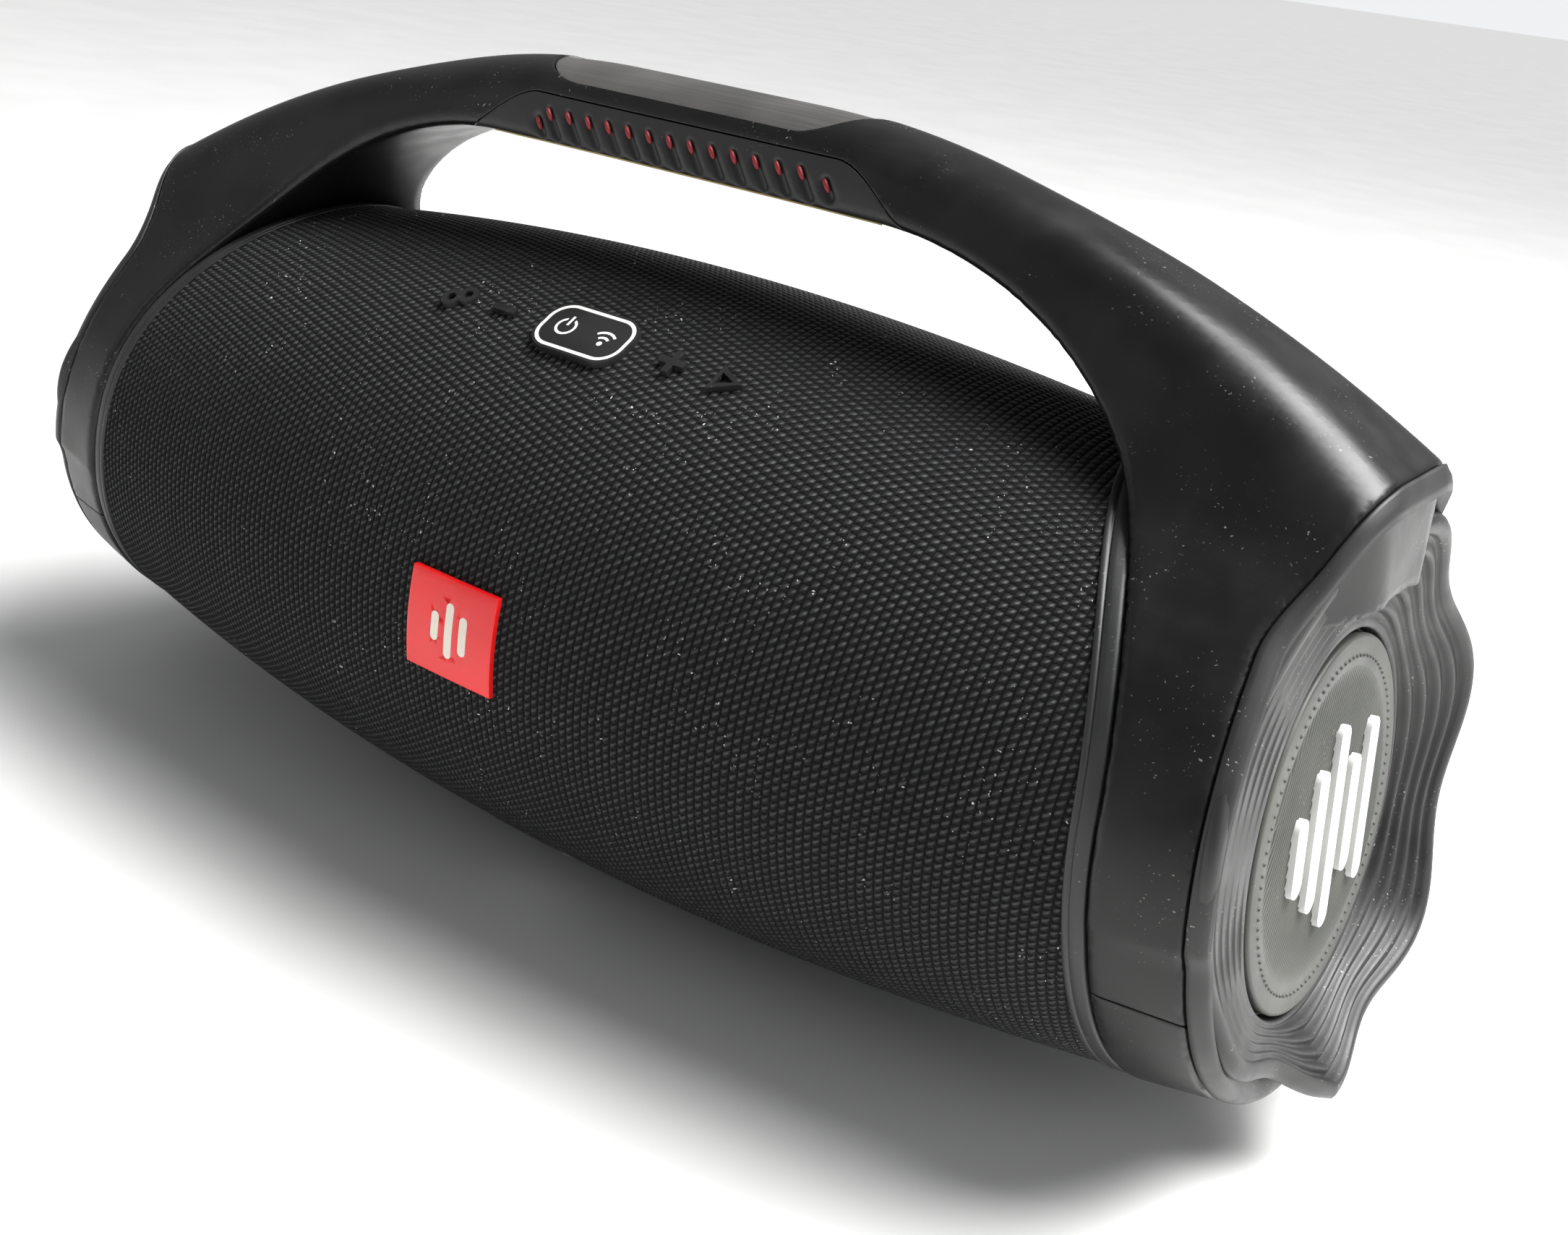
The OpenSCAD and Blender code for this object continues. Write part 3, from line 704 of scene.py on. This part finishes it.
def make_yellow_line():
    """A thin yellow metallic bead along each lower edge of the grip."""
    turns = 8
    angles = 2 * math.pi * np.arange(turns) / turns
    x = np.linspace(-YELLOW_LINE_HALF_X, YELLOW_LINE_HALF_X, YELLOW_LINE_STEPS)
    for name, side in (("front", -1), ("rear", 1)):
        spine = np.stack([x, np.full(YELLOW_LINE_STEPS, side * YELLOW_LINE_Y), np.full(YELLOW_LINE_STEPS, YELLOW_LINE_Z)], -1)
        spine[:, 2] -= 1.2 * (np.abs(x) / YELLOW_LINE_HALF_X) ** 4
        spine = settle(frame_field, spine, 8)
        outward = unit(gradient(frame_field, spine))
        up = np.cross(outward, (1, 0, 0))
        rows = [spine[i] + YELLOW_LINE_R * (np.cos(angles)[:, None] * outward[i] + np.sin(angles)[:, None] * up[i])
                for i in range(YELLOW_LINE_STEPS)]
        make_piece(f"yellow_line_{name}", np.concatenate(rows), ring_faces(YELLOW_LINE_STEPS, turns),
                   YELLOW_LINE, "chassis", "accent")


# ---- fabric and trim ----


def make_fabric():
    """The ribbed sleeve as one open sheet, trimmed under the bands at both ends."""
    step = RIB_PITCH / len(RIB_SHAPE)
    columns = 2 * int(FABRIC_HALF_X / step) + 1
    x = (np.arange(columns) - columns // 2) * step
    rib = np.array(RIB_SHAPE)[(np.arange(columns) - columns // 2) % len(RIB_SHAPE)]
    angle = np.linspace(-math.pi, math.pi, WEAVE_ROWS + 1)[:-1]
    radius = (barrel_r(x) + rib)[:, None]
    grid = np.stack([np.broadcast_to(x[:, None], (columns, WEAVE_ROWS)),
                     radius * np.sin(angle), DRUM_Z + radius * np.cos(angle)], -1)
    points, tris = grid.reshape(-1, 3), split(ring_faces(columns, WEAVE_ROWS)[:, ::-1])
    edge = window_distance(points[:, 0], points[:, 2]) - FABRIC_END
    points, tris, _ = clip(points, tris, edge)
    points, tris = compact(points, tris)
    sleeve = make_piece("fabric_cover", points, tris, FABRIC, "chassis", "fabric", ("fabric_sleeve",))


def window_x(distance, height, angle):
    """Where the window's outline grown to a distance meets the drum at each angle."""
    x = np.full_like(angle, 180.0)
    for _ in range(30):
        z = DRUM_Z + (barrel_r(x) + height) * np.cos(angle)
        b = z - ARCH_Z
        arc = ARCH_X + np.sqrt(np.maximum(distance**2 - b * b, 0))
        side = ARCH_X + (distance - b * math.sin(END_TILT)) / math.cos(END_TILT)
        x = np.where(b > (x - ARCH_X) * math.tan(END_TILT), arc, side)
    return x


# Distance from the window's spine and height over the drum, across the band
TRIM_PROFILE = (
    (119.7, -0.6), (119.8, 0.3), (120.1, 0.75), (120.6, 0.95), (121.2, 1.0), (121.5, 0.8),
    (121.7, 0.45), (121.9, 0.8), (122.2, 1.0), (123.5, 1.05), (124.8, 1.0), (125.5, 0.85),
    (125.8, 0.4), (125.9, -0.6),
)


def make_trims():
    """The rubber band between fabric and ring, with a fine line along it."""
    turns = 300
    angle = 2 * math.pi * np.arange(turns) / turns
    rows = []
    for distance, height in TRIM_PROFILE:
        x = window_x(distance, height, angle)
        radius = barrel_r(x) + height
        rows.append(np.stack([x, radius * np.sin(angle), DRUM_Z + radius * np.cos(angle)], -1))
    for name, side in SIDES:
        points, faces = mirrored(np.concatenate(rows), ring_faces(len(rows), turns)[:, ::-1], side)
        make_piece(f"trim_band_{name}", points, faces, TRIM, "chassis", "trim", (f"trim_{name}",))


# ---- ends ----

DISC_ORIGIN = np.array((DISC_X, 0, DISC_Z))
DISC_OUT = np.array((math.cos(END_TILT), 0, math.sin(END_TILT)))
DISC_DOWN = np.array((math.sin(END_TILT), 0, -math.cos(END_TILT)))
DISC_REAR = np.array((0, 1.0, 0))


def at_disc(a, b, w):
    """Points on the right end's disc, a downwards, b rearwards, w outwards."""
    a, b, w = np.broadcast_arrays(a, b, w)
    return DISC_ORIGIN + a[..., None] * DISC_DOWN + b[..., None] * DISC_REAR + w[..., None] * DISC_OUT


TERRACES = 5
BOWL_R = 54.0
BOWL_W = -0.4
BORE_R = DISC_R + 1.3


def frame_radius(angle, w):
    """How far the frame's outside is from the end's axis at each angle, found by halving."""
    near = np.full_like(angle, 40.0)
    far = np.full_like(angle, 135.0)
    for _ in range(30):
        middle = (near + far) / 2
        inside = envelope(at_disc(middle * np.cos(angle), middle * np.sin(angle), w)) < 0
        near = np.where(inside, middle, near)
        far = np.where(inside, far, middle)
    return near


def collar_rows(angle):
    """Radius and place of the band beside the seam, which carries on the frame's surface."""
    hood = hood_share(np.cos(angle), np.sin(angle))
    seam = SEAM_W + HOOD_RISE * hood
    edge = frame_radius(angle, seam)
    rows = [(edge - 5, seam + 0.3), (edge - 0.6, seam + 0.3), (edge - 0.1, seam + 0.75)]
    for beyond, drop in ((2.2, 0.1), (4.0, 0.5), (5.2, 1.4), (5.8, 2.6)):
        w = seam + beyond * (1 - 0.45 * hood)
        rows.append((frame_radius(angle, w) - drop * (1 + 0.6 * hood), w))
    return rows, hood


# How far each ring of the rounded lip lies out from its crest, and along
LIP_SECTION = (
    (-1.0, -4.8), (0.2, -4.0), (0.7, -2.7), (0.3, -1.3), (-0.9, -0.4), (-2.6, 0.0), (-4.2, -0.3),
)
# Shares of a terrace's width and rise: rounded nose, short wall and sloping tread
TERRACE_SECTION = (
    (0.0, 0.0), (0.1, 0.25), (0.17, 0.7), (0.2, 1.25), (0.28, 1.5), (0.6, 1.25), (0.9, 1.05),
)


def bumper_rows(angle):
    """Radius and place of every ring of the moulding, from the seam to the bore for the disc."""
    rows, hood = collar_rows(angle)
    front = np.maximum(-np.sin(angle), 0) ** 0.8
    wave = np.cos(LIP_WAVES * angle - WAVE_START) * (1 - FRONT_CALM * front)
    lip_r = (LIP_R - LIP_LIFT * np.cos(angle) - LIP_OVAL * np.cos(2 * angle + OVAL_TURN)
             - FRONT_IN * front + WAVE_OUT * wave)
    lip_w = LIP_W + LIP_LEAN * np.cos(angle) - FRONT_BACK * front + WAVE_ALONG * wave
    end_r, end_w = rows[-1]
    groove_r = (end_r + lip_r) / 2 - 9 * (1 - hood)
    groove_w = lip_w - 7.5
    flank_r, flank_w = lip_r - 1.0, lip_w - 4.8
    for share in (0.5, 0.9):
        rows.append((end_r + share * (groove_r - end_r), end_w + share * (groove_w - end_w)))
    rows.append((groove_r, groove_w))
    for share in (0.12, 0.55, 0.9):
        rows.append((groove_r + share * (flank_r - groove_r),
                     groove_w + share ** 0.7 * (flank_w - groove_w)))
    for out, along in LIP_SECTION:
        rows.append((lip_r + out, lip_w + along))
    top_r, top_w = lip_r - 4.6, lip_w - 0.7
    rise = (top_w - BOWL_W) / TERRACES
    width = (top_r - BOWL_R) / TERRACES
    for i in range(TERRACES):
        for share, fall in TERRACE_SECTION:
            rows.append((top_r - (i + share) * width, top_w - (i + fall) * rise))
    for r, w in ((BOWL_R - 0.2, BOWL_W - 0.4), (BORE_R, BOWL_W - 1.0), (BORE_R, BOWL_W - 7)):
        rows.append((np.full_like(angle, r), np.full_like(angle, w)))
    return rows


def make_bumpers():
    """Collar, groove, wavy lip and stepped bowl as one moulding."""
    turns = 360
    angle = 2 * math.pi * np.arange(turns) / turns
    rows = [at_disc(r * np.cos(angle), r * np.sin(angle), w) for r, w in bumper_rows(angle)]
    for name, side in SIDES:
        points, faces = mirrored(np.concatenate(rows), ring_faces(len(rows), turns), side)
        make_piece(f"end_bumper_{name}", points, faces, RUBBER, "chassis", "bumper", (f"bumper_{name}",))


# The disc's face
RIB_COUNT = 56
RIB_FIELD_R = 44.0
DOT_R = 46.4
DOTS = 96


def disc_plate():
    """The moving plate: flat face, rounded edge and open back."""
    turns = 144
    angle = 2 * math.pi * np.arange(turns) / turns
    profile = ((0.01, -0.1), (20, -0.1), (43.6, -0.1), (44.4, 0.0), (51.2, 0.0), (51.9, -0.25),
               (DISC_R, -0.9), (DISC_R, -5.0), (40, -5.0), (24, -5.0), (24, -14), (0.01, -14))
    rows = [at_disc(r * np.cos(angle), r * np.sin(angle), w) for r, w in profile]
    return np.concatenate(rows), ring_faces(len(rows), turns)[:, ::-1]


def disc_ribs():
    """Fine diagonal ridges on the face, each a long rounded strip that ends at a circle."""
    pitch = 2 * RIB_FIELD_R / RIB_COUNT
    section = ((-0.4, -0.12), (-0.22, 0.28), (0.0, 0.36), (0.22, 0.28), (0.4, -0.12))
    lean = math.radians(28)
    points, faces = [], []
    for i in range(RIB_COUNT):
        u = (i + 0.5) * pitch - RIB_FIELD_R
        half = math.sqrt(RIB_FIELD_R**2 - u * u)
        start = len(points)
        for v in np.linspace(-half, half, 8):
            for shift, height in section:
                a = (u + shift * pitch) * math.sin(lean) + v * math.cos(lean)
                b = (u + shift * pitch) * math.cos(lean) - v * math.sin(lean)
                points.append(at_disc(a, b, height if abs(v) < half else -0.12))
        for step in range(7):
            for j in range(len(section) - 1):
                k = start + step * len(section) + j
                faces.append((k, k + len(section), k + len(section) + 1, k + 1))
    return np.array(points), np.array(faces)


def disc_dots():
    """A ring of small raised dots round the ribs."""
    turns, rings = 8, 3
    points, faces = [], []
    for i in range(DOTS):
        around = 2 * math.pi * i / DOTS
        start = len(points)
        for ring in range(rings + 1):
            rise = math.pi / 2 * ring / rings
            for turn in range(turns):
                t = 2 * math.pi * turn / turns
                size = 0.62 * max(math.cos(rise), 0.02)
                points.append(at_disc(DOT_R * math.cos(around) + size * math.cos(t),
                                      DOT_R * math.sin(around) + size * math.sin(t),
                                      0.55 * math.sin(rise) - 0.02))
        faces.append(ring_faces(rings + 1, turns)[:, ::-1] + start)
    return np.array(points), np.concatenate(faces)


def make_discs():
    for name, side in SIDES:
        body = f"radiator_{name}"
        points, faces = mirrored(*disc_plate(), side)
        make_piece(f"disc_plate_{name}", points, faces, DISC, body, "disc", (f"radiator_disc_{name}",))
        points, faces = mirrored(*disc_ribs(), side)
        make_piece(f"disc_ribs_{name}", points, faces, DISC, body, "disc")
        points, faces = mirrored(*disc_dots(), side)
        make_piece(f"disc_dots_{name}", points, faces, DISC, body, "disc")


# ---- stage ----

FLOOR_R = 25  # metres


def make_stage():
    """A wide pale floor."""
    turns = 96
    angle = 2 * math.pi * np.arange(turns) / turns
    mesh = bpy.data.meshes.new("floor")
    rim = np.stack([FLOOR_R * np.cos(angle), FLOOR_R * np.sin(angle), np.zeros(turns)], -1)
    mesh.from_pydata(rim.tolist(), [], [tuple(range(turns))])
    s = Shader("pale_floor")
    colour = s.mix(s.ease(s.noise(120, 3), 0.3, 0.7), rgb(0.86, 0.86, 0.85), rgb(0.9, 0.9, 0.89))
    mesh.materials.append(s.done(Base_Color=colour, Roughness=0.6))
    floor = bpy.data.objects.new("floor", mesh)
    bpy.context.scene.collection.objects.link(floor)


def make_area_light(name, place, aim, size, power):
    """A soft rectangular panel, placed and aimed in metres."""
    light = bpy.data.lights.new(name, "AREA")
    light.shape = "RECTANGLE"
    light.size, light.size_y = size
    light.energy = power
    lamp = bpy.data.objects.new(name, light)
    lamp.location = place
    lamp.rotation_euler = (Vector(aim) - Vector(place)).to_track_quat("-Z", "Y").to_euler()
    bpy.context.scene.collection.objects.link(lamp)


def make_lights():
    """A soft dome, bright at the horizon, a wide sun from the rear right and three panels."""
    world = bpy.data.worlds.new("studio")
    world.use_nodes = True
    tree = world.node_tree
    place = tree.nodes.new("ShaderNodeTexCoord")
    height = tree.nodes.new("ShaderNodeSeparateXYZ")
    fade = tree.nodes.new("ShaderNodeMapRange")
    tree.links.new(height.inputs[0], place.outputs["Generated"])
    tree.links.new(fade.inputs["Value"], height.outputs["Z"])
    fade.inputs["From Min"].default_value = 0.02
    fade.inputs["From Max"].default_value = 0.09
    fade.inputs["To Min"].default_value = 0.9
    fade.inputs["To Max"].default_value = 0.26
    background = tree.nodes["Background"]
    tree.links.new(background.inputs["Strength"], fade.outputs["Result"])
    background.inputs["Color"].default_value = (0.97, 0.98, 1.0, 1)
    bpy.context.scene.world = world
    data = bpy.data.lights.new("soft_sun", "SUN")
    data.energy = 2.5
    data.angle = math.radians(36)
    sun = bpy.data.objects.new("soft_sun", data)
    sun.rotation_euler = Vector((0.42, 0.42, 0.8)).to_track_quat("Z", "Y").to_euler()
    bpy.context.scene.collection.objects.link(sun)
    make_area_light("overhead", (0.74, 0.4, 1.5), (0.15, 0, 0.15), (1.1, 1.1), 52)
    make_area_light("right_side", (1.9, 0.1, 0.7), (0.2, 0, 0.12), (1.2, 0.9), 5)
    make_area_light("front_left", (-1.5, -1.6, 1.2), (0, 0, 0.1), (1.0, 1.0), 2)
    bpy.context.scene.view_settings.view_transform = "Standard"


def make_camera():
    """The camera, looking down from the front right and rolled a little."""
    azimuth, elevation, roll = math.radians(33.43), math.radians(22.02), math.radians(7.9)
    target = Vector((47.21, 0, 98.81)) * MM
    back = Vector((math.sin(azimuth) * math.cos(elevation), -math.cos(azimuth) * math.cos(elevation),
                   math.sin(elevation)))
    level = (-back).cross(Vector((0, 0, 1))).normalized()
    upright = level.cross(-back)
    right = math.cos(roll) * level + math.sin(roll) * upright
    up = math.cos(roll) * upright - math.sin(roll) * level
    data = bpy.data.cameras.new("camera")
    data.lens = 40.02
    data.sensor_width = 36
    data.clip_start = 0.01
    camera = bpy.data.objects.new("camera", data)
    place = target + back * 0.5542
    turn = Matrix((right, up, back)).transposed().to_4x4()
    camera.matrix_world = Matrix.Translation(place) @ turn
    bpy.context.scene.collection.objects.link(camera)
    bpy.context.scene.camera = camera


make_camera()
make_handle()
make_grip()
make_inlay()
make_grip_tips()
make_yellow_line()
make_fabric()
make_trims()
make_bumpers()
make_discs()
finish_cad_nodes()
make_stage()
make_lights()
